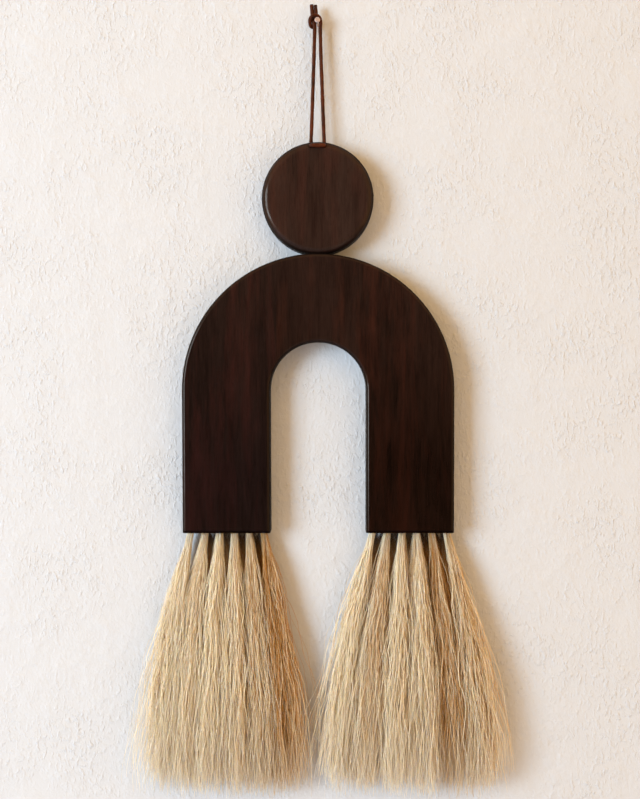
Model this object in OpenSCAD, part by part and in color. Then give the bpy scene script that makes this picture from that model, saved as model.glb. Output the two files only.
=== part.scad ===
// Wall hanging: a wooden disc on top of an inverted-U wooden arch, with six hair tufts under
// each leg, hung from a nail by a knotted leather lace.
// Millimetres. The origin is where the nail's axis meets the wall; +Z is up, +X is to the
// viewer's right and the front faces -Y, so every board lies between y = -board_t and y = 0.

/* [Boards] */
// Thickness of the disc and of the arch
board_t = 22; // [18:1:30]
// Diameter of the disc
disc_d = 100; // [80:1:130]
// Height of the nail's axis above the top of the disc
hang_drop = 108; // [70:1:180]
// Width of the arch across both legs
arch_w = 244; // [200:2:300]
// Width of one leg
leg_w = 79; // [60:1:90]
// Height of the arch from its crown to the bottom of the legs
arch_h = 250; // [200:5:320]
// Width of the middle board of the arch, between its two glue lines
crown_w = 74; // [50:2:82]
// Radius of the rounded front edge of the disc
disc_edge_r = 7; // [1:0.5:9]
// Radius of the rounded front edge of the arch
arch_edge_r = 3.5; // [1:0.5:5]
// Width of the flat where the disc stands on the arch
neck_flat_w = 16; // [10:1:24]

/* [Tufts] */
// Number of tufts under each leg
tufts_per_leg = 6; // [6:1:6]
// Distance between the holes for the tufts
tuft_pitch = 13; // [9:0.5:13]
// Diameter of a tuft where it leaves the wood
tuft_d = 7; // [5:0.5:8]
// Depth of the holes for the tufts
tuft_hole_h = 18; // [10:1:30]
// Length of the hair below the leg
tuft_h = 226; // [150:2:300]
// Width that one tuft takes at the tips
tuft_tip_w = 26; // [20:0.5:26]
// Thickness of a tuft at the tips, front to back
tuft_tip_t = 20; // [10:1:20]

/* [Lace] */
// Diameter of the leather lace
lace_d = 3.4; // [2:0.1:3.4]
// Diameter of the two holes for the lace
lace_hole_d = 4; // [4:0.5:4.5]
// Distance between the two holes for the lace
lace_hole_gap = 12; // [12:1:12]

/* [Nail] */
// Diameter of the nail's head
nail_head_d = 4.8; // [4:0.1:8]
// Diameter of the nail's smooth neck, where the lace hangs
nail_neck_d = 2; // [1.6:0.1:2.2]
// Diameter of the part of the shank that holds in the wall
nail_shank_d = 2.5; // [2.4:0.1:4]
// Length of the shank that holds in the wall
nail_shank_h = 22; // [15:1:40]
// How far the nail stands out from the wall
nail_out = 15.5; // [15:0.5:25]

/* [Hidden] */
$fn = 64;
slack = 0.1;          // radial room round a glued dowel or root
tuft_gap = 0.6;       // room between two neighbouring tufts
mid_y = -board_t / 2;
cut = 1;              // how far a cutting solid runs past the face it cuts

disc_r = disc_d / 2;
disc_z = -hang_drop - disc_r;
arch_r = arch_w / 2;
gap_r = arch_r - leg_w;
// The disc and the crown both have a flat neck_flat_w wide, and these two flats meet at neck_z.
neck_z = disc_z - sqrt(disc_r * disc_r - neck_flat_w * neck_flat_w / 4);
arc_z = neck_z - sqrt(arch_r * arch_r - neck_flat_w * neck_flat_w / 4);
leg_z = arc_z + arch_r - arch_h;
leg_x = arch_r - leg_w / 2;
leg_h = arc_z - leg_z;
foot_chamfer = 1.2;

dowel_r = 4;
dowel_h = 40;

tuft_r = tuft_d / 2;
hinge_drop = 4;       // the tufts turn about an axis this far below the legs
hinge_z = leg_z - hinge_drop;
tuft_tip_z = leg_z - tuft_h;
tip_shift = 3;        // how much further out than in the fringe under each leg spreads
tip_slab = 1;
tip_corner = 4;       // how much is cut from the corners of the tips

lace_r = lace_d / 2;
lace_hole_x = lace_hole_gap / 2;
lace_hole_y = -10;
lace_hole_z = disc_z + disc_r - 4.4;
elbow = 2;            // how far each lace hole runs past the axis of the one it meets

head_t = 1.4;
point_h = 4;
knot_bore_d = 2.8;    // the lace grips the nail loosely

// One half of the lace's route, from the middle of the stitch on the disc's front, through the
// left hole and up to the knot. x is given for the right half and is mirrored for the left.
half_route = [
  [0, -23.4, -112.4], [2, -23.5, -112.4], [4, -23.6, -112.4], [5, -23.4, -112.4],
  [5.7, -22.9, -112.4], [6, -22, -112.4], [6, -20, -112.4], [6, -17, -112.4],
  [6, -14, -112.4], [6, -12, -112.4], [6, -10.7, -111.9], [6, -10.1, -110.6],
  [6, -10, -109], [5.9, -10, -106], [5.5, -10, -97], [5, -9.8, -84],
  [4.5, -9.6, -70], [4, -9.4, -56], [3.5, -9.2, -42], [3, -9, -28],
  [2.7, -8.8, -16], [2.5, -8.6, -8], [2.4, -8.5, -2.4]
];
last = len(half_route) - 1;
lace_route = [
  for (i = [-last:last])
    let (p = half_route[abs(i)])
    [sign(i) * p[0], p[1], p[2]]
];
left_tail_route = [
  [-4.4, -8.6, 3], [-4.5, -8.7, 5], [-4.6, -8.8, 8], [-4.8, -8.9, 11.5], [-5.1, -9, 15.2]
];
right_tail_route = [
  [-0.9, -8.5, 3], [-1, -8.5, 5], [-1, -8.6, 8], [-1.1, -8.8, 11.5], [-1.4, -8.9, 14.8]
];
lace_sides = 8;

// Tufts are numbered from 1 at the gap to tufts_per_leg at the outside; side is -1 or 1.
function tuft_x(side, n) = side * (leg_x + (n - (tufts_per_leg + 1) / 2) * tuft_pitch);
function tip_x(side, n) =
  side * (leg_x + tip_shift + (n - (tufts_per_leg + 1) / 2) * tuft_tip_w);

function unit(v) = v / norm(v);
function heading(route, i) = unit(route[min(i + 1, len(route) - 1)] - route[max(i - 1, 0)]);

// Each ring's first side comes from the ring before it, so the tube never twists.
function side_axes(route, i = 0, before = [0, 0.6, 0.8]) =
  i == len(route) ? [] :
  let (t = heading(route, i))
  let (u = unit(before - (before * t) * t))
  concat([u], side_axes(route, i + 1, u));

module tube(route, r, sides) {
  axes = side_axes(route);
  points = [
    for (i = [0:len(route) - 1])
      let (u = axes[i])
      let (v = cross(heading(route, i), u))
      for (k = [0:sides - 1])
        route[i] + r * cos(360 * k / sides) * u + r * sin(360 * k / sides) * v
  ];
  rings = len(route);
  walls = [
    for (i = [0:rings - 2])
      for (k = [0:sides - 1])
        let (n = (k + 1) % sides)
        [i * sides + k, (i + 1) * sides + k, (i + 1) * sides + n, i * sides + n]
  ];
  caps = [
    [for (k = [0:sides - 1]) k],
    [for (k = [sides - 1:-1:0]) (rings - 1) * sides + k]
  ];
  polyhedron(points, concat(walls, caps), convexity = 6);
}

// Stands a shape drawn in the XY plane, with its front up, against the wall with its front
// towards -Y.
module against_wall() {
  rotate([90, 0, 0]) children();
}

// Cross-section of a board w wide: the two front corners are rounded.
module edge_section(w, r) {
  square([w, board_t - r]);
  translate([r, 0]) square([w - 2 * r, board_t]);
  translate([r, board_t - r]) circle(r);
  translate([w - r, board_t - r]) circle(r);
}

module disc_blank() {
  translate([0, 0, disc_z])
    against_wall()
      rotate_extrude($fn = 180) {
        square([disc_r, board_t - disc_edge_r]);
        square([disc_r - disc_edge_r, board_t]);
        translate([disc_r - disc_edge_r, board_t - disc_edge_r])
          intersection() {
            circle(disc_edge_r);
            square(disc_edge_r);
          }
      }
}

module dowel_bore() {
  translate([0, mid_y, neck_z - dowel_h / 2 - cut])
    cylinder(h = dowel_h + 2 * cut, r = dowel_r + slack);
}

// Everything above or below the flats where the disc meets the crown.
module below_neck() {
  translate([-arch_r - cut, -board_t - cut, neck_z - arch_h - cut])
    cube([arch_w + 2 * cut, board_t + 2 * cut, arch_h + cut]);
}

module lace_holes() {
  for (side = [-1, 1])
    translate([side * lace_hole_x, lace_hole_y, lace_hole_z]) {
      translate([0, 0, -elbow]) cylinder(h = disc_r, d = lace_hole_d);
      translate([0, elbow, 0]) rotate([90, 0, 0]) cylinder(h = board_t, d = lace_hole_d);
    }
}

module half_ring() {
  translate([0, 0, arc_z])
    against_wall()
      rotate_extrude(angle = 180, $fn = 360)
        translate([gap_r, 0]) edge_section(leg_w, arch_edge_r);
}

// The straight part of a leg, down to its eased front edge at the foot.
module leg(side) {
  difference() {
    translate([side * leg_x - leg_w / 2, 0, leg_z])
      linear_extrude(leg_h)
        mirror([0, 1]) edge_section(leg_w, arch_edge_r);
    translate([side * leg_x - leg_w / 2 - cut, -board_t, leg_z])
      rotate([45, 0, 0])
        cube([leg_w + 2 * cut, foot_chamfer * sqrt(2), foot_chamfer * sqrt(2)], center = false);
  }
}

module tuft_bores(side) {
  for (n = [1:tufts_per_leg])
    translate([tuft_x(side, n), mid_y, leg_z - cut])
      cylinder(h = tuft_hole_h + cut, d = tuft_d);
}

// The slab of space that one board of the arch is cut from, between two x values.
module board_slab(x0, x1) {
  translate([x0, -board_t - cut, leg_z - cut])
    cube([x1 - x0, board_t + 2 * cut, arch_h + 2 * cut]);
}

module stave(side) {
  outer = side * (arch_r + cut);
  inner = side * crown_w / 2;
  difference() {
    union() {
      intersection() {
        half_ring();
        board_slab(min(outer, inner), max(outer, inner));
      }
      leg(side);
    }
    tuft_bores(side);
  }
}

module wall_nail() {
  color([0.82, 0.76, 0.72])
    rotate([90, 0, 0]) {
      translate([0, 0, -nail_shank_h - point_h]) cylinder(h = point_h, r1 = 0.2, d2 = nail_shank_d);
      translate([0, 0, -nail_shank_h]) cylinder(h = nail_shank_h, d = nail_shank_d);
      cylinder(h = nail_out - head_t, d = nail_neck_d);
      translate([0, 0, nail_out - head_t]) cylinder(h = head_t / 2, d = nail_head_d);
      translate([0, 0, nail_out - head_t / 2])
        cylinder(h = head_t / 2, d1 = nail_head_d, d2 = nail_head_d - head_t);
    }
}

module head_disc() {
  color([0.17, 0.11, 0.08])
    difference() {
      disc_blank();
      below_neck();
      dowel_bore();
      lace_holes();
    }
}

module neck_dowel() {
  color([0.78, 0.62, 0.42])
    translate([0, mid_y, neck_z - dowel_h / 2])
      cylinder(h = dowel_h, r = dowel_r);
}

module crown_block() {
  color([0.19, 0.12, 0.08])
    difference() {
      intersection() {
        half_ring();
        board_slab(-crown_w / 2, crown_w / 2);
        below_neck();
      }
      dowel_bore();
    }
}

module left_stave() {
  color([0.16, 0.10, 0.07]) stave(-1);
}

module right_stave() {
  color([0.18, 0.11, 0.08]) stave(1);
}

module lace_loop() {
  color([0.42, 0.20, 0.13]) tube(lace_route, lace_r, lace_sides);
}

// The outer shape of the knot, with the nail's neck through it.
module lace_knot() {
  color([0.42, 0.20, 0.13])
    difference() {
      hull() {
        translate([-4, -8.3, -2.8]) sphere(3.3, $fn = 24);
        translate([-4, -8.5, 1]) sphere(3.6, $fn = 24);
        translate([-1.4, -8.3, 2]) sphere(3.2, $fn = 24);
        translate([0.8, -8.3, -0.4]) sphere(3, $fn = 24);
      }
      translate([0, cut, 0]) rotate([90, 0, 0]) cylinder(h = nail_out + cut, d = knot_bore_d);
    }
}

module lace_tail_left() {
  color([0.42, 0.20, 0.13]) tube(left_tail_route, lace_r, lace_sides);
}

module lace_tail_right() {
  color([0.42, 0.20, 0.13]) tube(right_tail_route, lace_r, lace_sides);
}

// The bound end of a tuft, glued in its hole.
module root(side, n) {
  color([0.66, 0.52, 0.33])
    translate([tuft_x(side, n), mid_y, leg_z])
      cylinder(h = tuft_hole_h - 0.5, r = tuft_r - slack);
}

// A tuft's outer shape: round where it turns under its hole, wide and flat at the tips. The tips
// are a thin slab, so that the sides of leaning neighbours stay apart all the way down.
module tuft(side, n) {
  tip_w = tuft_tip_w - tuft_gap;
  color([0.83, 0.74, 0.58])
    hull() {
      translate([tuft_x(side, n), mid_y, hinge_z]) sphere(tuft_r - 0.2, $fn = 24);
      translate([tip_x(side, n), mid_y, tuft_tip_z + tip_slab / 2]) {
        cube([tip_w, tuft_tip_t - tip_corner, tip_slab], center = true);
        cube([tip_w - tip_corner, tuft_tip_t, tip_slab], center = true);
      }
    }
}

wall_nail();
head_disc();
neck_dowel();
crown_block();
left_stave();
right_stave();
lace_loop();
lace_knot();
lace_tail_left();
lace_tail_right();
root(-1, 1);  // root_l1
root(-1, 2);  // root_l2
root(-1, 3);  // root_l3
root(-1, 4);  // root_l4
root(-1, 5);  // root_l5
root(-1, 6);  // root_l6
root(1, 1);  // root_r1
root(1, 2);  // root_r2
root(1, 3);  // root_r3
root(1, 4);  // root_r4
root(1, 5);  // root_r5
root(1, 6);  // root_r6
tuft(-1, 1);  // tuft_l1
tuft(-1, 2);  // tuft_l2
tuft(-1, 3);  // tuft_l3
tuft(-1, 4);  // tuft_l4
tuft(-1, 5);  // tuft_l5
tuft(-1, 6);  // tuft_l6
tuft(1, 1);  // tuft_r1
tuft(1, 2);  // tuft_r2
tuft(1, 3);  // tuft_r3
tuft(1, 4);  // tuft_r4
tuft(1, 5);  // tuft_r5
tuft(1, 6);  // tuft_r6
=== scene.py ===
"""Looks for the wall hanging: a disc on an inverted-U arch, twelve hair tufts and a leather lace.

Metres, in the CAD frame: the origin is where the nail's axis meets the wall, +Z is up, the front
faces -Y and the wall is the plane y = 0.
"""

import math
from collections import namedtuple

import bpy
import numpy as np
from mathutils import Matrix, Vector


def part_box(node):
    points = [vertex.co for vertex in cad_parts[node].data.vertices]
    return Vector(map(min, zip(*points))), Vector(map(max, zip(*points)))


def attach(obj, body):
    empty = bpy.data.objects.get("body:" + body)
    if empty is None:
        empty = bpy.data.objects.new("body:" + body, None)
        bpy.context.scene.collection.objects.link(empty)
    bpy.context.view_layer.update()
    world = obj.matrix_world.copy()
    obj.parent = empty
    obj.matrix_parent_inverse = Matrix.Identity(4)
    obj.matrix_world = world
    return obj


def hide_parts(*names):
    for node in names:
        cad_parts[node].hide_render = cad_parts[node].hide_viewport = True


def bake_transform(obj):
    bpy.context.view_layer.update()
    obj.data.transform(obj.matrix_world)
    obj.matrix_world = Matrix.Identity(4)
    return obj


MM = 0.001

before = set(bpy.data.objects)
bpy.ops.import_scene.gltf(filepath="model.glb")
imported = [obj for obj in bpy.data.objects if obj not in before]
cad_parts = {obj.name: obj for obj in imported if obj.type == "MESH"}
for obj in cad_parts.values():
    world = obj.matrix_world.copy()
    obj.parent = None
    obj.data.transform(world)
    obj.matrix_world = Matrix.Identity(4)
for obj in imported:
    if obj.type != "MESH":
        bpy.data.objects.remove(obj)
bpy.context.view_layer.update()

# --------------------------------------------------------------------------------- camera
CAMERA_AT = (0.010, -0.958, -0.305)
LENS_MM = 47.3
SENSOR_MM = 36
PITCH = math.radians(-1.97)
YAW = math.radians(0.5)
ROLL = math.radians(-0.1)


def make_camera():
    data = bpy.data.cameras.new("camera")
    data.lens = LENS_MM
    data.sensor_width = SENSOR_MM
    data.clip_start = 0.01
    camera = bpy.data.objects.new("camera", data)
    bpy.context.scene.collection.objects.link(camera)
    camera.matrix_world = (
        Matrix.Translation(CAMERA_AT)
        @ Matrix.Rotation(YAW, 4, "Z")
        @ Matrix.Rotation(math.radians(90) + PITCH, 4, "X")
        @ Matrix.Rotation(ROLL, 4, "Z")
    )
    bpy.context.scene.camera = camera


make_camera()


# --------------------------------------------------------------------------------- meshes
def mesh_object(name, vertices, faces, material):
    """A smooth-shaded object with one material, from a list of points and a list of faces."""
    mesh = bpy.data.meshes.new(name)
    mesh.from_pydata(vertices, [], faces)
    mesh.validate()
    mesh.shade_smooth()
    mesh.materials.append(material)
    thing = bpy.data.objects.new(name, mesh)
    bpy.context.scene.collection.objects.link(thing)
    return thing


def point_attribute(thing, name, values):
    attribute = thing.data.attributes.new(name, "FLOAT", "POINT")
    attribute.data.foreach_set("value", np.asarray(values, np.float32))


def catmull_rom(points, step):
    """A smooth curve through points, resampled about every step."""
    p = np.asarray(points, float)
    ends = np.vstack([2 * p[0] - p[1], p, 2 * p[-1] - p[-2]])
    out = []
    for i in range(1, len(ends) - 2):
        a, b, c, d = ends[i - 1 : i + 3]
        count = max(2, int(round(np.linalg.norm(c - b) / step)))
        for t in np.arange(count) / count:
            out.append(
                0.5
                * (
                    2 * b
                    + (c - a) * t
                    + (2 * a - 5 * b + 4 * c - d) * t**2
                    + (3 * b - a - 3 * c + d) * t**3
                )
            )
    out.append(p[-1])
    return np.array(out)


def ring_axes(path):
    """Two axes across each point of a path, carried along it so that a tube never twists."""
    headings = np.gradient(path, axis=0)
    headings /= np.linalg.norm(headings, axis=1)[:, None]
    u = np.array([0.0, 1.0, 0.0])
    axes = []
    for heading in headings:
        u = u - heading * (u @ heading)
        u /= np.linalg.norm(u)
        axes.append((u, np.cross(heading, u)))
    return axes


def tube(name, path, radii, sides, material):
    """A closed tube along path, with one radius per point of it."""
    turn = 2 * np.pi * np.arange(sides) / sides
    vertices = []
    for point, radius, (u, v) in zip(path, radii, ring_axes(path)):
        ring = point + radius * (np.outer(np.cos(turn), u) + np.outer(np.sin(turn), v))
        vertices.extend(ring.tolist())
    faces = []
    for low in range(0, (len(path) - 1) * sides, sides):
        high = low + sides
        for k in range(sides):
            n = (k + 1) % sides
            faces.append([low + k, low + n, high + n, high + k])
    faces.append(list(range(sides))[::-1])
    faces.append([(len(path) - 1) * sides + k for k in range(sides)])
    return mesh_object(name, vertices, faces, material)


# ------------------------------------------------------------------------------ materials
class Nodes:
    """Short ways to build one material's node tree."""

    def __init__(self, name):
        self.material = bpy.data.materials.new(name)
        self.material.use_nodes = True
        self.tree = self.material.node_tree
        self.shader = self.tree.nodes["Principled BSDF"]
        self.output = self.tree.nodes["Material Output"]

    def link(self, source, target):
        self.tree.links.new(source, target)

    def put(self, socket, value):
        """Links a socket to another one, or sets it to a plain value."""
        if isinstance(value, bpy.types.NodeSocket):
            self.link(value, socket)
        else:
            socket.default_value = value

    def place(self, scale, shift=(0, 0, 0)):
        """The piece's own coordinates in metres, scaled for each axis."""
        coordinates = self.tree.nodes.new("ShaderNodeTexCoord")
        mapping = self.tree.nodes.new("ShaderNodeMapping")
        mapping.inputs["Scale"].default_value = scale
        mapping.inputs["Location"].default_value = shift
        self.link(coordinates.outputs["Object"], mapping.inputs["Vector"])
        return mapping.outputs["Vector"]

    def noise(self, vector, scale, detail, roughness, distortion=0.0):
        node = self.tree.nodes.new("ShaderNodeTexNoise")
        node.inputs["Scale"].default_value = scale
        node.inputs["Detail"].default_value = detail
        node.inputs["Roughness"].default_value = roughness
        node.inputs["Distortion"].default_value = distortion
        self.link(vector, node.inputs["Vector"])
        return node.outputs["Fac"]

    def voronoi(self, vector, scale):
        node = self.tree.nodes.new("ShaderNodeTexVoronoi")
        node.inputs["Scale"].default_value = scale
        self.link(vector, node.inputs["Vector"])
        return node.outputs["Distance"]

    def axis(self, space, name):
        """One axis of the piece's own place, "Object" in metres, or of its "Normal"."""
        coordinates = self.tree.nodes.new("ShaderNodeTexCoord")
        axes = self.tree.nodes.new("ShaderNodeSeparateXYZ")
        self.link(coordinates.outputs[space], axes.inputs["Vector"])
        return axes.outputs[name]

    def facing(self):
        """0 where a surface faces the viewer, up to 1 where it is seen edge-on."""
        return self.tree.nodes.new("ShaderNodeLayerWeight").outputs["Facing"]

    def attribute(self, name):
        node = self.tree.nodes.new("ShaderNodeAttribute")
        node.attribute_name = name
        return node.outputs["Fac"]

    def math(self, operation, a, b=0.0):
        node = self.tree.nodes.new("ShaderNodeMath")
        node.operation = operation
        self.put(node.inputs[0], a)
        self.put(node.inputs[1], b)
        return node.outputs["Value"]

    def spread(self, value, low, high, to_low=0.0, to_high=1.0):
        """Maps low..high to to_low..to_high, clamped."""
        node = self.tree.nodes.new("ShaderNodeMapRange")
        node.clamp = True
        self.put(node.inputs["Value"], value)
        for socket, number in zip(
            ("From Min", "From Max", "To Min", "To Max"), (low, high, to_low, to_high)
        ):
            node.inputs[socket].default_value = number
        return node.outputs["Result"]

    def mix(self, factor, a, b, blend="MIX"):
        node = self.tree.nodes.new("ShaderNodeMix")
        node.data_type = "RGBA"
        node.blend_type = blend
        self.put(node.inputs["Factor"], factor)
        for socket, value in zip((node.inputs[6], node.inputs[7]), (a, b)):
            self.put(socket, value if isinstance(value, bpy.types.NodeSocket) else (*value, 1))
        return node.outputs[2]

    def bump(self, height, distance, strength, under=None):
        node = self.tree.nodes.new("ShaderNodeBump")
        node.inputs["Strength"].default_value = strength
        node.inputs["Distance"].default_value = distance
        self.link(height, node.inputs["Height"])
        if under is not None:
            self.link(under, node.inputs["Normal"])
        return node.outputs["Normal"]


# --------------------------------------------------------------------------- leather lace
# The same route as in the CAD source, in millimetres: half of the loop, from the middle of the
# stitch on the disc's front through the right hole and up to the knot, mirrored for the left.
HALF_ROUTE = [
    (0, -23.4, -112.4), (2, -23.5, -112.4), (4, -23.6, -112.4), (5, -23.4, -112.4),
    (5.7, -22.9, -112.4), (6, -22, -112.4), (6, -20, -112.4), (6, -17, -112.4),
    (6, -14, -112.4), (6, -12, -112.4), (6, -10.7, -111.9), (6, -10.1, -110.6),
    (6, -10, -109), (5.9, -10, -106), (5.5, -10, -97), (5, -9.8, -84),
    (4.5, -9.6, -70), (4, -9.4, -56), (3.5, -9.2, -42), (3, -9, -28),
    (2.7, -8.8, -16), (2.5, -8.6, -8),
]
# In the knot the left strand goes straight up into its tail, and the right one goes over the
# nail, once round the left strand and up behind it into its own tail.
LEFT_KNOT = [
    (-2.4, -8.5, -5), (-3, -8.6, -2), (-3.6, -8.7, 1), (-4.2, -8.7, 4),
    (-4.6, -8.8, 8), (-4.9, -8.9, 11.5), (-5.2, -9, 15.2),
]
RIGHT_KNOT = [
    (2.6, -8.7, -4), (2.9, -9.2, -0.8), (2.4, -9.9, 2.4), (0.6, -10.9, 4.3),
    (-1.8, -12, 4.9), (-4.2, -12.3, 4.1), (-6.1, -11.1, 2.2), (-6.7, -9.1, -0.4),
    (-5.9, -6.9, -2.9), (-4.3, -5.5, -3.7), (-2.6, -5.2, -2.8), (-2.7, -5.2, 0.2),
    (-2.2, -5.9, 3), (-1.4, -7.6, 5.4), (-1.3, -8.5, 8), (-1.5, -8.8, 11.3),
    (-1.8, -8.9, 14.8),
]
LACE_D = 0.0034
LACE_SIDES = 14
LACE_STEP = 0.0009      # between the tube's rings
CUT_END = 0.0011        # how far the dark of a cut end reaches along the lace


def leather_material():
    n = Nodes("leather")
    place = n.place((1, 1, 1))
    long_place = n.place((1, 1, 0.25))
    blotch = n.noise(place, 90, 4, 0.6)
    streak = n.noise(long_place, 900, 3, 0.6)
    cut_end = n.spread(n.attribute("end"), 0.0, CUT_END, 1.0, 0.0)
    tone = n.spread(blotch, 0.35, 0.68)
    colour = n.mix(tone, (0.015, 0.0026, 0.0006), (0.068, 0.0125, 0.0028))
    colour = n.mix(n.spread(streak, 0.45, 0.75, 0.0, 0.55), colour, (0.115, 0.0240, 0.0060))
    colour = n.mix(n.math("MULTIPLY", cut_end, 0.85), colour, (0.014, 0.0045, 0.0025))
    n.put(n.shader.inputs["Base Color"], colour)
    n.put(n.shader.inputs["Roughness"], n.spread(streak, 0.3, 0.75, 0.42, 0.62))
    n.shader.inputs["Specular IOR Level"].default_value = 0.14
    n.shader.inputs["Specular Tint"].default_value = (1.0, 0.84, 0.70, 1)
    pores = n.voronoi(place, 1900)
    bump = n.bump(pores, 0.00012, 0.5)
    bump = n.bump(streak, 0.00025, 0.6, under=bump)
    n.put(n.shader.inputs["Normal"], bump)
    return n.material


def make_lace():
    right = HALF_ROUTE + RIGHT_KNOT
    left = [(-x, y, z) for x, y, z in HALF_ROUTE] + LEFT_KNOT
    path = catmull_rom(np.array(left[::-1] + right[1:]) * MM, LACE_STEP)
    gone = np.concatenate([[0], np.cumsum(np.linalg.norm(np.diff(path, axis=0), axis=1))])
    # cut by hand, so its width varies a little, and both ends are slightly narrower
    wave = 1 + 0.035 * np.sin(gone * 310) + 0.025 * np.sin(gone * 823 + 1.3)
    radii = LACE_D / 2 * wave
    radii[[0, -1]] *= 0.86
    lace = tube("leather_lace", path, radii, LACE_SIDES, leather_material())
    from_end = np.minimum(gone, gone[-1] - gone)
    point_attribute(lace, "end", np.repeat(from_end, LACE_SIDES))
    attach(lace, "hanging")
    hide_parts("lace_loop", "lace_knot", "lace_tail_left", "lace_tail_right")


make_lace()


# ----------------------------------------------------------------------------------- wood
PAINTED_SHEEN_LOW = -0.40      # below this height the boards get none of the painted sheen
PAINTED_SHEEN_HIGH = -0.24     # and above this one all of it


def wood_material(name, dark, mid, red, shift, painted_sheen):
    """Dark oiled wood with upright grain and reddish patches, with a satin finish.

    The last argument multiplies the colours of the piece's top part: a painted sheen.
    """
    n = Nodes(name)
    moved = (shift[0] + 3, shift[1], shift[2])
    wander = n.noise(n.place((1, 1, 0.22), shift), 26, 3, 0.55, 0.3)
    bands = n.noise(n.place((1, 1, 0.10), shift), 190, 4, 0.65, 0.8)
    fibre = n.noise(n.place((1, 1, 0.05), shift), 900, 4, 0.7, 0.3)
    pores = n.noise(n.place((1, 1, 0.07), shift), 2300, 2, 0.5)
    reds = n.noise(n.place((1, 1, 0.13), moved), 60, 5, 0.66, 0.35)
    tone = n.math("ADD", n.math("MULTIPLY", bands, 0.55), n.math("MULTIPLY", wander, 0.45))
    colour = n.mix(n.spread(tone, 0.34, 0.66), dark, mid)
    colour = n.mix(n.spread(reds, 0.46, 0.68, 0.0, 0.80), colour, red)
    colour = n.mix(n.spread(fibre, 0.45, 0.72, 0.0, 0.35), colour, [c * 1.3 for c in mid])
    colour = n.mix(n.spread(fibre, 0.28, 0.46, 0.35, 0.0), colour, [c * 0.8 for c in dark])
    colour = n.mix(n.spread(pores, 0.60, 0.72, 0.0, 0.45), colour, [c * 0.35 for c in dark])
    # painted sheen: the colours grow lighter towards the crown of the arch
    high = n.spread(n.axis("Object", "Z"), PAINTED_SHEEN_LOW, PAINTED_SHEEN_HIGH)
    colour = n.mix(high, colour, painted_sheen, "MULTIPLY")
    # painted shade: the rounded edges and the sides are darker than the face
    painted_edge_shade = n.spread(n.math("ABSOLUTE", n.axis("Normal", "Y")), 0.45, 0.985, 0.92, 0.0)
    colour = n.mix(painted_edge_shade, colour, [c * 0.22 for c in dark])
    n.put(n.shader.inputs["Base Color"], colour)
    satin = n.spread(fibre, 0.3, 0.8, 0.11, 0.19)
    edge_on = n.spread(n.facing(), 0.25, 0.55, 0.0, 0.55)
    n.put(n.shader.inputs["Roughness"], n.math("ADD", satin, edge_on))
    n.shader.inputs["Specular IOR Level"].default_value = 0.11
    n.shader.inputs["Specular Tint"].default_value = (1.0, 0.84, 0.72, 1)
    bump = n.bump(fibre, 0.00012, 0.3)
    bump = n.bump(pores, 0.00008, 0.3, under=bump)
    n.put(n.shader.inputs["Normal"], bump)
    return n.material


# Each board's colours, where its grain is taken from, and how much lighter the top of it is
# painted, as painted sheen.
BOARDS = {
    "head_disc": {
        "dark": (0.0115, 0.0048, 0.0034),
        "mid": (0.0275, 0.0148, 0.0108),
        "red": (0.0370, 0.0136, 0.0092),
        "shift": (4, 0, 2),
        "painted_sheen": (1.0, 1.0, 1.0),
    },
    "crown_block": {
        "dark": (0.0062, 0.0027, 0.0021),
        "mid": (0.0188, 0.0093, 0.0067),
        "red": (0.0285, 0.0090, 0.0054),
        "shift": (1, 2, 7),
        "painted_sheen": (1.0, 1.0, 1.0),
    },
    "left_stave": {
        "dark": (0.0024, 0.0011, 0.0011),
        "mid": (0.0090, 0.0047, 0.0044),
        "red": (0.0165, 0.0050, 0.0046),
        "shift": (7, 1, 0),
        "painted_sheen": (1.90, 1.90, 1.50),
    },
    "right_stave": {
        "dark": (0.0022, 0.0008, 0.0006),
        "mid": (0.0090, 0.0036, 0.0024),
        "red": (0.0165, 0.0042, 0.0024),
        "shift": (2, 5, 3),
        "painted_sheen": (2.00, 2.45, 2.60),
    },
}


def repaint(node, material):
    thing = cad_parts[node]
    for slot in thing.material_slots:
        slot.material = material


for board, paints in BOARDS.items():
    repaint(board, wood_material(board + "_wood", **paints))


def dowel_material():
    n = Nodes("dowel_beech")
    grain = n.noise(n.place((1, 1, 0.05)), 700, 4, 0.65)
    fleck = n.noise(n.place((1, 1, 0.2)), 1600, 2, 0.5)
    colour = n.mix(n.spread(grain, 0.35, 0.7), (0.43, 0.27, 0.14), (0.60, 0.42, 0.25))
    colour = n.mix(n.spread(fleck, 0.6, 0.7, 0, 0.5), colour, (0.30, 0.16, 0.08))
    n.put(n.shader.inputs["Base Color"], colour)
    n.put(n.shader.inputs["Roughness"], n.spread(grain, 0.3, 0.7, 0.55, 0.75))
    n.put(n.shader.inputs["Normal"], n.bump(grain, 0.0002, 0.4))
    return n.material


repaint("neck_dowel", dowel_material())


def nail_material():
    n = Nodes("nail_metal")
    spots = n.noise(n.place((1, 1, 1)), 900, 4, 0.6)
    drawn = n.noise(n.place((1, 0.08, 1)), 2500, 2, 0.5)
    colour = n.mix(n.spread(spots, 0.4, 0.7), (0.60, 0.48, 0.46), (0.40, 0.31, 0.28))
    n.put(n.shader.inputs["Base Color"], colour)
    n.shader.inputs["Metallic"].default_value = 0.75
    n.put(n.shader.inputs["Roughness"], n.spread(spots, 0.35, 0.7, 0.30, 0.50))
    n.put(n.shader.inputs["Normal"], n.bump(drawn, 0.00006, 0.4))
    return n.material


repaint("wall_nail", nail_material())


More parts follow.
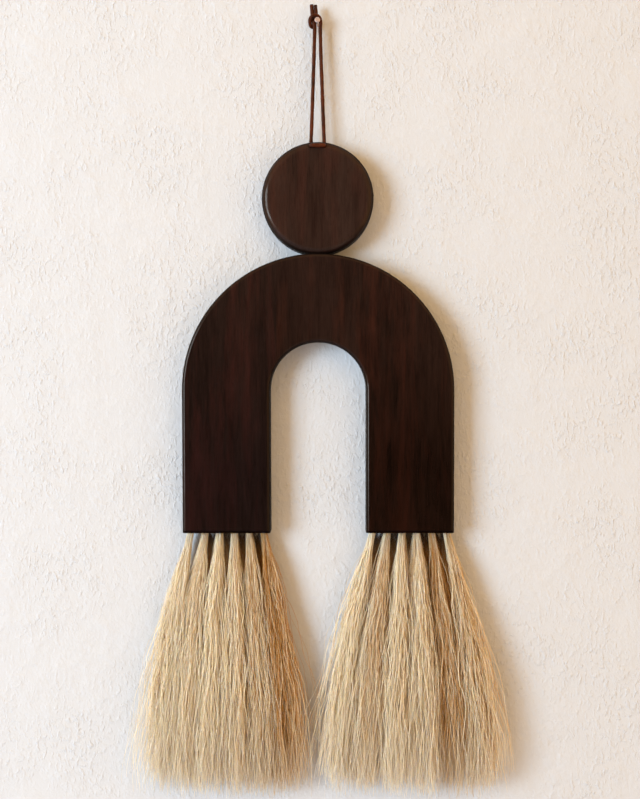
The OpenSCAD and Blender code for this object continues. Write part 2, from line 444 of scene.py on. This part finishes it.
# ----------------------------------------------------------------------------------- hair
HAIR_RINGS = np.linspace(0, 1, 37) ** 1.15      # closer together near the hole
HAIR_SIDES = 3
HAIR_R = (0.00012, 0.00025)     # thinnest and thickest strand
STRANDS = 700
LOCKS = 14
INSIDE = 0.003          # how far the strands start up inside their hole
HOLE_R = 0.0031         # the bundle's radius in its hole
TIP_HALF_W = 0.0115     # half of a tuft's width and thickness at its tips
TIP_HALF_T = 0.0080
CAD_TIP_HALF = 0.0127   # half of a tuft's width at its tips in the CAD model
TIP_UP = 0.002          # how far above the CAD model's tips most strands end
LEAN_POWER = 1.65       # how soon a tuft leans over towards its tips
WIDEST = 0.1792         # no tip goes further than this from the middle
TIP_DEPTHS = (-0.0100, 0.0098)  # how far the tips lie in front of a tuft's middle and behind it
LOOSE = 0.56            # the share of the strands that leave their lock and cross the others
BEHIND = 0.20           # the share that spreads early behind the others
SHORT = 0.24            # the share that ends higher up
SHORTER = 0.085         # and by how much at most
LONGER = 0.016          # how far the longest strands reach below the tips
STRAY_OUT = 0.010       # how much further the strays lie beyond the ends of a row
STRAY_SPREAD = (0.0100, 0.0025) # how widely strays, and the strands of a lock, fan out in x and y
LOCK_SPREAD = (0.0024, 0.0018)
# For x and y: how far the slow waves of a lock, the waves of a strand and its kinks go.
WAVES = ((0.0015, 0.0020, 0.00026), (0.0012, 0.0014, 0.00026))
WALL_ROOM = (-0.0006, -0.0003)  # how close to the wall a strand's middle and its surface come

# tone: 0, dark gold, to 1, pale; it differs from tuft to tuft, and is also painted light and
# shade, paler at the left ends of the rows, towards the window, and darker towards their right
# ends
# opening: how fast the tuft opens
# drift: how far its tips drift in x and in y, in mm
# straying, side: the share of its strands that stray, and to which side, -1 to 1
# back: how far the strands at its back reach to each side
Tuft = namedtuple("Tuft", "tone opening drift straying side back")
TUFTS = {
    "l6": Tuft(0.96, 1.5, (7.5, -3.0), 0.27, -1.0, (0, 0)),
    "l5": Tuft(0.62, 1.9, (2.5, -6.5), 0.06, -0.4, (0, 1)),
    "l4": Tuft(0.80, 2.3, (-1.0, -9.0), 0.05, 0.0, (-1, 1)),
    "l3": Tuft(0.66, 2.1, (-2.5, -9.5), 0.05, 0.0, (-1, 1)),
    "l2": Tuft(0.50, 1.9, (-5.0, -7.0), 0.05, 0.4, (-1, 1)),
    "l1": Tuft(-0.10, 1.4, (-8.0, -8.0), 0.14, 0.9, (-1, 0)),
    "r1": Tuft(0.86, 1.5, (-3.0, -5.0), 0.27, -1.0, (0, 1)),
    "r2": Tuft(0.60, 1.9, (-3.0, -8.0), 0.06, -0.6, (-1, 1)),
    "r3": Tuft(0.80, 2.3, (-3.0, -10.0), 0.06, 0.0, (-1, 1)),
    "r4": Tuft(0.72, 2.3, (-2.5, -9.0), 0.06, 0.0, (-1, 1)),
    "r5": Tuft(0.08, 1.7, (-1.5, -6.0), 0.08, 0.8, (-1, 1)),
    "r6": Tuft(0.46, 1.4, (-4.0, -9.5), 0.30, 1.0, (-1, 0)),
}


def hair_material():
    n = Nodes("hair")
    tone = n.attribute("tone")
    along = n.attribute("along")
    patch = n.noise(n.place((1, 1, 0.18)), 120, 3, 0.6)
    fine = n.noise(n.place((1, 1, 0.16)), 1500, 2, 0.6)
    mixed = n.math("ADD", tone, n.spread(patch, 0.3, 0.7, -0.12, 0.12))
    colour = n.mix(n.spread(mixed, 0.0, 1.0), (0.39, 0.165, 0.018), (0.90, 0.755, 0.530))
    colour = n.mix(n.spread(along, 0.80, 1.0, 0.0, 0.35), colour, (0.92, 0.79, 0.60))
    colour = n.mix(n.spread(fine, 0.5, 0.75, 0.0, 0.30), colour, (0.92, 0.77, 0.58))
    # painted shade: between the tufts' tops the strands at the back are nearly black near their
    # roots
    painted_gap_shade = n.spread(along, 0.03, 0.17, 1.0, 0.0)
    colour = n.mix(n.math("MULTIPLY", painted_gap_shade, n.attribute("back")), colour, (0.016, 0.008, 0.004))
    n.put(n.shader.inputs["Base Color"], colour)
    n.put(n.shader.inputs["Roughness"], n.spread(fine, 0.3, 0.75, 0.30, 0.46))
    n.shader.inputs["Specular IOR Level"].default_value = 0.35
    n.shader.inputs["Subsurface Weight"].default_value = 0.4
    n.shader.inputs["Subsurface Radius"].default_value = (1.0, 0.7, 0.4)
    n.shader.inputs["Subsurface Scale"].default_value = 0.0008
    n.put(n.shader.inputs["Normal"], n.bump(fine, 0.0001, 0.3))
    return n.material


HAIR = hair_material()


def smooth(t):
    t = np.clip(t, 0, 1)
    return t * t * (3 - 2 * t)


def in_disc(rng, count, radius):
    turn = rng.uniform(0, 2 * np.pi, count)
    out = radius * np.sqrt(rng.uniform(0, 1, count))
    return np.stack([out * np.cos(turn), out * np.sin(turn)], axis=1)


def fan_out(rng, tip, tuft, lock_root, lock_tip, start):
    """Where each strand's tip lies from the middle of the tuft's tips, in x and y.

    start is where the strands start, and lock_root and lock_tip where the locks start and end.
    Also gives each strand's lock, and whether it is loose, a stray, or one of those behind.
    """
    tip_half = np.array([TIP_HALF_W, TIP_HALF_T])
    gaps = np.linalg.norm(start[:, None, :] - lock_root[None, :, :], axis=2)
    lock = np.argmin(gaps + rng.normal(0, 0.0004, gaps.shape), axis=1)
    tightness = rng.uniform(0.5, 2.0, LOCKS)[lock][:, None]
    fan = lock_tip[lock] + tightness * rng.normal(0, 1, (STRANDS, 2)) * np.array(LOCK_SPREAD)
    loose = rng.uniform(0, 1, STRANDS) < LOOSE
    fan[loose] = rng.normal(0, 0.72, (loose.sum(), 2)) * tip_half
    stray = rng.uniform(0, 1, STRANDS) < tuft.straying
    fan[stray] += rng.normal(0, 1, (stray.sum(), 2)) * np.array(STRAY_SPREAD)
    fan[stray, 0] += tuft.side * STRAY_OUT
    # those behind fill the room between the tufts and the wall
    behind = rng.uniform(0, 1, STRANDS) < BEHIND
    fan[behind, 0] = rng.uniform(*tuft.back, behind.sum()) * TIP_HALF_W
    fan[behind, 1] = rng.uniform(0.3, 1.0, behind.sum()) * TIP_HALF_T
    fan[:, 0] = np.clip(fan[:, 0] + tip[0], -WIDEST, WIDEST) - tip[0]
    fan[:, 1] = np.clip(fan[:, 1], *TIP_DEPTHS)
    return fan, lock, loose, stray, behind


def hair_paths(rng, root, tip, tuft):
    """Centre lines of one tuft's strands, from inside its hole to its tips.

    Gives (strands, rings, 3) points, each strand's lock, how far forward it lies, -1 to 1, and
    whether it is one of those at the back.
    """
    s = HAIR_RINGS[None, :]
    drop = root[2] - tip[2]
    tip_half = np.array([TIP_HALF_W, TIP_HALF_T])
    lock_root = in_disc(rng, LOCKS, HOLE_R)
    lock_tip = (lock_root / HOLE_R + rng.normal(0, 0.25, (LOCKS, 2))) * tip_half
    start = in_disc(rng, STRANDS, HOLE_R)
    fan, lock, loose, stray, behind = fan_out(rng, tip, tuft, lock_root, lock_tip, start)
    lean = np.array([tip[0] - root[0], tip[1] - root[1]])
    # most of the strands reach the tips, some end higher up, and slanting ones end a bit higher
    aside = fan[:, 0] + lean[0]
    length = drop + rng.normal(0, 0.0085, STRANDS) - aside**2 / (2 * drop)
    short = rng.uniform(0, 1, STRANDS) < SHORT
    length[short] -= rng.uniform(0.0, SHORTER, short.sum())
    length = np.minimum(length, drop + LONGER)
    share = np.clip(length[:, None] / drop * s, 0, 1.08)
    leaning = 1 - np.clip(1 - share, 0, 1) ** LEAN_POWER
    # how soon each strand moves out to its place: those behind at once, strays last
    power = (tuft.opening * rng.uniform(0.75, 1.3, LOCKS))[lock][:, None]
    power[loose] *= 0.75
    power[stray] = rng.uniform(0.9, 1.4, stray.sum())[:, None]
    power[behind] = 20
    held = (loose | stray) & ~behind
    paths = np.empty((STRANDS, len(HAIR_RINGS), 3))
    for axis, sooner in ((0, 1.0), (1, 2.4)):
        widen = 1 - np.clip(1 - share, 0, 1) ** (power * sooner)
        widen *= 1 - 0.5 * np.exp(-share / 0.02)
        widen[held] *= smooth(share[held] / 0.16)
        first = start[:, axis][:, None]
        spread_out = (fan[:, axis][:, None] - first) * widen
        paths[:, :, axis] = root[axis] + lean[axis] * leaning + first + spread_out
    paths[:, :, 2] = root[2] - length[:, None] * s
    for axis, (shared, own, kink) in enumerate(WAVES):
        phase = rng.uniform(0, 2 * np.pi, LOCKS)[lock][:, None]
        rate = rng.uniform(4, 10, LOCKS)[lock][:, None]
        paths[:, :, axis] += shared * smooth(s * 2.2) * np.sin(phase + rate * share)
        phase = rng.uniform(0, 2 * np.pi, STRANDS)[:, None]
        rate = rng.uniform(7, 26, STRANDS)[:, None]
        paths[:, :, axis] += own * smooth(s * 3) * np.sin(phase + rate * share)
        paths[:, :, axis] += kink * smooth(s * 4) * rng.normal(0, 1, share.shape)
        phase = rng.uniform(0, 2 * np.pi, STRANDS)[:, None]
        rate = rng.uniform(35, 75, STRANDS)[:, None]
        paths[:, :, axis] += kink * smooth(s * 4) * np.sin(phase + rate * share)
    paths[:, :, 1] = np.minimum(paths[:, :, 1], WALL_ROOM[0])
    forward = np.where(behind, -2.0, -fan[:, 1] / TIP_HALF_T)
    return paths, lock, forward, behind


def strand_faces(count, rings):
    """The faces of closed strands, each a tube with so many rings and a cap at both ends."""
    k = np.arange(HAIR_SIDES)
    n = (k + 1) % HAIR_SIDES
    low = (np.arange(rings - 1) * HAIR_SIDES)[:, None]
    walls = np.stack([low + k, low + n, low + HAIR_SIDES + n, low + HAIR_SIDES + k], axis=2)
    offsets = (np.arange(count) * rings * HAIR_SIDES)[:, None, None]
    quads = (walls.reshape(-1, 4)[None] + offsets).reshape(-1, 4)
    caps = np.array([k[::-1], (rings - 1) * HAIR_SIDES + k])
    ends = (caps[None] + offsets).reshape(-1, HAIR_SIDES)
    return quads.tolist() + ends.tolist()


def hair_tuft(name, rng, root, tip, tuft):
    """One tuft as many closed, tapering three-sided strands."""
    paths, lock, forward, behind = hair_paths(rng, root, tip, tuft)
    count, rings, _ = paths.shape
    s = HAIR_RINGS
    shape = (0.62 + 0.38 * smooth(s * 5)) * (1 - 0.42 * smooth((s - 0.6) / 0.4))
    radii = rng.uniform(*HAIR_R, count)[:, None] * shape[None, :]
    heading = np.gradient(paths, axis=1)
    heading /= np.linalg.norm(heading, axis=2)[:, :, None]
    spin = rng.uniform(0, 2 * np.pi, count)
    first = np.stack([np.cos(spin), np.sin(spin), np.zeros(count)], axis=1)[:, None, :]
    u = first - heading * np.sum(first * heading, axis=2)[:, :, None]
    u /= np.linalg.norm(u, axis=2)[:, :, None]
    v = np.cross(heading, u)
    turn = 2 * np.pi * np.arange(HAIR_SIDES) / HAIR_SIDES
    across = np.cos(turn)[:, None] * u[:, :, None, :] + np.sin(turn)[:, None] * v[:, :, None, :]
    vertices = paths[:, :, None, :] + radii[:, :, None, None] * across
    vertices[..., 1] = np.minimum(vertices[..., 1], WALL_ROOM[1])
    faces = strand_faces(count, rings)
    thing = mesh_object(name, vertices.reshape(-1, 3).tolist(), faces, HAIR)
    lock_tone = rng.uniform(-0.36, 0.36, LOCKS)[lock]
    # each strand's tone differs at random, and is painted light and shade as well: strands
    # further forward are paler, and those further back darker, most of all those behind
    own_tone_and_shade = rng.normal(0, 0.21, count) + 0.30 * np.clip(forward, -2, 0.6)
    tone = np.clip(tuft.tone + lock_tone + own_tone_and_shade, 0, 1)
    point_attribute(thing, "tone", np.repeat(tone, rings * HAIR_SIDES))
    point_attribute(thing, "back", np.repeat(behind.astype(float), rings * HAIR_SIDES))
    point_attribute(thing, "along", np.tile(np.repeat(s, HAIR_SIDES), count))
    return thing


def make_hair():
    rng = np.random.default_rng(11)
    for name, tuft in TUFTS.items():
        node = "tuft_" + name
        lo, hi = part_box(node)
        root_lo, root_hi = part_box("root_" + name)
        root_x = (root_lo.x + root_hi.x) / 2
        root_y = (root_lo.y + root_hi.y) / 2
        # a tuft's box reaches its tips on the side it leans to
        leans_right = hi.x - root_x > root_x - lo.x
        tip_x = hi.x - CAD_TIP_HALF if leans_right else lo.x + CAD_TIP_HALF
        drift_x, drift_y = tuft.drift
        root = (root_x, root_y, root_lo.z + INSIDE)
        tip = (tip_x + drift_x * MM, root_y + drift_y * MM, lo.z + TIP_UP)
        hair = hair_tuft("hair_" + name, rng, root, tip, tuft)
        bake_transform(hair)
        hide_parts(node)


make_hair()


def root_material():
    n = Nodes("hair_root")
    strands = n.noise(n.place((1, 1, 0.04)), 1800, 3, 0.6)
    colour = n.mix(n.spread(strands, 0.35, 0.7), (0.30, 0.18, 0.07), (0.66, 0.50, 0.30))
    n.put(n.shader.inputs["Base Color"], colour)
    n.put(n.shader.inputs["Roughness"], n.spread(strands, 0.3, 0.7, 0.35, 0.6))
    n.put(n.shader.inputs["Normal"], n.bump(strands, 0.0003, 0.6))
    return n.material


ROOT = root_material()
for name in TUFTS:
    repaint("root_" + name, ROOT)


# ---------------------------------------------------------------------------------- stage
def wall_material():
    n = Nodes("plaster")
    place = n.place((1, 1, 1))
    trowel = n.noise(place, 30, 5, 0.6)
    grit = n.noise(n.place((1.25, 1, 0.8)), 210, 4, 0.6)
    colour = n.mix(n.spread(grit, 0.35, 0.7), (0.530, 0.538, 0.547), (0.550, 0.560, 0.572))
    n.put(n.shader.inputs["Base Color"], colour)
    n.shader.inputs["Roughness"].default_value = 0.9
    n.shader.inputs["Specular IOR Level"].default_value = 0.2
    worn = n.spread(n.noise(place, 13, 4, 0.6), 0.40, 0.60, 0.2, 1.0)
    bump = n.bump(n.spread(trowel, 0.45, 0.75), 0.0018, 0.4)
    bump = n.bump(n.math("MULTIPLY", n.spread(grit, 0.5, 0.85), worn), 0.0013, 0.75, under=bump)
    n.put(n.shader.inputs["Normal"], bump)
    # seen from behind the wall isn't there, so that the hanging's back can be looked at
    clear = n.tree.nodes.new("ShaderNodeBsdfTransparent")
    choose = n.tree.nodes.new("ShaderNodeMixShader")
    geometry = n.tree.nodes.new("ShaderNodeNewGeometry")
    n.link(geometry.outputs["Backfacing"], choose.inputs["Fac"])
    n.link(n.shader.outputs["BSDF"], choose.inputs[1])
    n.link(clear.outputs["BSDF"], choose.inputs[2])
    n.link(choose.outputs["Shader"], n.output.inputs["Surface"])
    return n.material


def floor_material(name, dark, light):
    n = Nodes(name)
    cloud = n.noise(n.place((1, 1, 1)), 3, 3, 0.5)
    n.put(n.shader.inputs["Base Color"], n.mix(cloud, dark, light))
    n.shader.inputs["Roughness"].default_value = 0.8
    return n.material


def plane(name, corners, material):
    thing = mesh_object(name, corners, [[0, 1, 2, 3]], material)
    return thing


def floor_plane(name, near_y, far_y, dark, light):
    across = ((-WALL_HALF, near_y), (WALL_HALF, near_y), (WALL_HALF, far_y), (-WALL_HALF, far_y))
    plane(name, [(x, y, FLOOR_Z) for x, y in across], floor_material(name, dark, light))


WALL_Y = 0.0006         # just behind the hanging's flat back
WALL_HALF = 3.0
FLOOR_Z = -1.5
CEILING_Z = 1.6
WALL_CORNERS = (
    (-WALL_HALF, FLOOR_Z),
    (WALL_HALF, FLOOR_Z),
    (WALL_HALF, CEILING_Z),
    (-WALL_HALF, CEILING_Z),
)
wall = plane("wall", [(x, WALL_Y, z) for x, z in WALL_CORNERS], wall_material())
wall.visible_shadow = False
# the room's light is warm, so the floor is bluish to look plain, most of all behind the wall
floor_plane("floor", -WALL_HALF, WALL_Y, (0.38, 0.43, 0.55), (0.41, 0.46, 0.59))
floor_plane("floor_behind", WALL_Y, WALL_HALF, (0.26, 0.38, 0.68), (0.28, 0.41, 0.73))


# --------------------------------------------------------------------------------- lights
def area_light(name, at, towards, size, power, colour):
    data = bpy.data.lights.new(name, "AREA")
    data.shape = "RECTANGLE"
    data.size = size[0]
    data.size_y = size[1]
    data.energy = power
    data.color = colour
    light = bpy.data.objects.new(name, data)
    bpy.context.scene.collection.objects.link(light)
    light.visible_camera = False
    light.location = at
    light.rotation_euler = (Vector(towards) - Vector(at)).to_track_quat("-Z", "Y").to_euler()
    return light


MIDDLE = (0.0, 0.0, -0.35)
DAYLIGHT = (0.560, 0.785, 0.985)
WINDOW_AT = (-2.75, -2.32, 0.02)
WINDOW_SIZE = (1.45, 1.75)
BEHIND_SIZE = (1.6, 1.6)
area_light("window", WINDOW_AT, MIDDLE, WINDOW_SIZE, 174, DAYLIGHT)
area_light("sunlit_floor", (-2.60, -2.20, -1.10), MIDDLE, (1.2, 0.6), 5, DAYLIGHT)
area_light("bounce", (0.62, -1.20, -1.34), MIDDLE, (0.5, 0.4), 1.0, (1.0, 0.84, 0.70))
area_light("behind", (0.5, 2.2, 0.2), MIDDLE, BEHIND_SIZE, 12, (1.0, 0.96, 0.90))
# two for the boards alone: the window's gleam on their finish, and one for their backs
boards = bpy.data.collections.new("boards")
for board in BOARDS:
    boards.objects.link(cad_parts[board])
gleam = area_light("gleam", WINDOW_AT, MIDDLE, WINDOW_SIZE, 300, (1.0, 0.90, 0.80))
gleam.visible_diffuse = False
gleam.light_linking.receiver_collection = boards
for_backs = area_light("for_backs", (-0.7, 2.4, 0.5), MIDDLE, BEHIND_SIZE, 130, (0.90, 0.95, 1.0))
for_backs.light_linking.receiver_collection = boards


ROOM_COLOUR = (0.87, 0.56, 0.275, 1)
BACKDROP_COLOUR = (0.62, 0.62, 0.61, 1)
ROOM_AHEAD = 0.30       # its strength straight in front of the wall
ROOM_AROUND = 2.06      # and everywhere else
ROOM_RIGHT = 0.15       # how much stronger it is towards +X, and weaker towards -X


def room_light():
    """Warm light from all round the room, strongest away from the window."""
    world = bpy.data.worlds.new("world")
    world.use_nodes = True
    tree = world.node_tree
    background = tree.nodes["Background"]
    coordinates = tree.nodes.new("ShaderNodeTexCoord")
    axes = tree.nodes.new("ShaderNodeSeparateXYZ")
    tree.links.new(coordinates.outputs["Generated"], axes.inputs["Vector"])
    parts = []
    for axis, values in (
        ("Y", (-1.0, -0.70, ROOM_AHEAD, ROOM_AROUND)),
        ("X", (-1.0, 1.0, 1 - ROOM_RIGHT, 1 + ROOM_RIGHT)),
    ):
        part = tree.nodes.new("ShaderNodeMapRange")
        tree.links.new(axes.outputs[axis], part.inputs["Value"])
        for socket, number in zip(("From Min", "From Max", "To Min", "To Max"), values):
            part.inputs[socket].default_value = number
        parts.append(part.outputs["Result"])
    both = tree.nodes.new("ShaderNodeMath")
    both.operation = "MULTIPLY"
    tree.links.new(parts[0], both.inputs[0])
    tree.links.new(parts[1], both.inputs[1])
    tree.links.new(both.outputs["Value"], background.inputs["Strength"])
    background.inputs["Color"].default_value = ROOM_COLOUR
    # where there is neither wall nor floor in view, the backdrop is plain and pale
    backdrop = tree.nodes.new("ShaderNodeBackground")
    backdrop.inputs["Color"].default_value = BACKDROP_COLOUR
    choose = tree.nodes.new("ShaderNodeMixShader")
    rays = tree.nodes.new("ShaderNodeLightPath")
    tree.links.new(rays.outputs["Is Camera Ray"], choose.inputs["Fac"])
    tree.links.new(background.outputs["Background"], choose.inputs[1])
    tree.links.new(backdrop.outputs["Background"], choose.inputs[2])
    tree.links.new(choose.outputs["Shader"], tree.nodes["World Output"].inputs["Surface"])
    bpy.context.scene.world = world


room_light()
bpy.context.scene.view_settings.view_transform = "Standard"
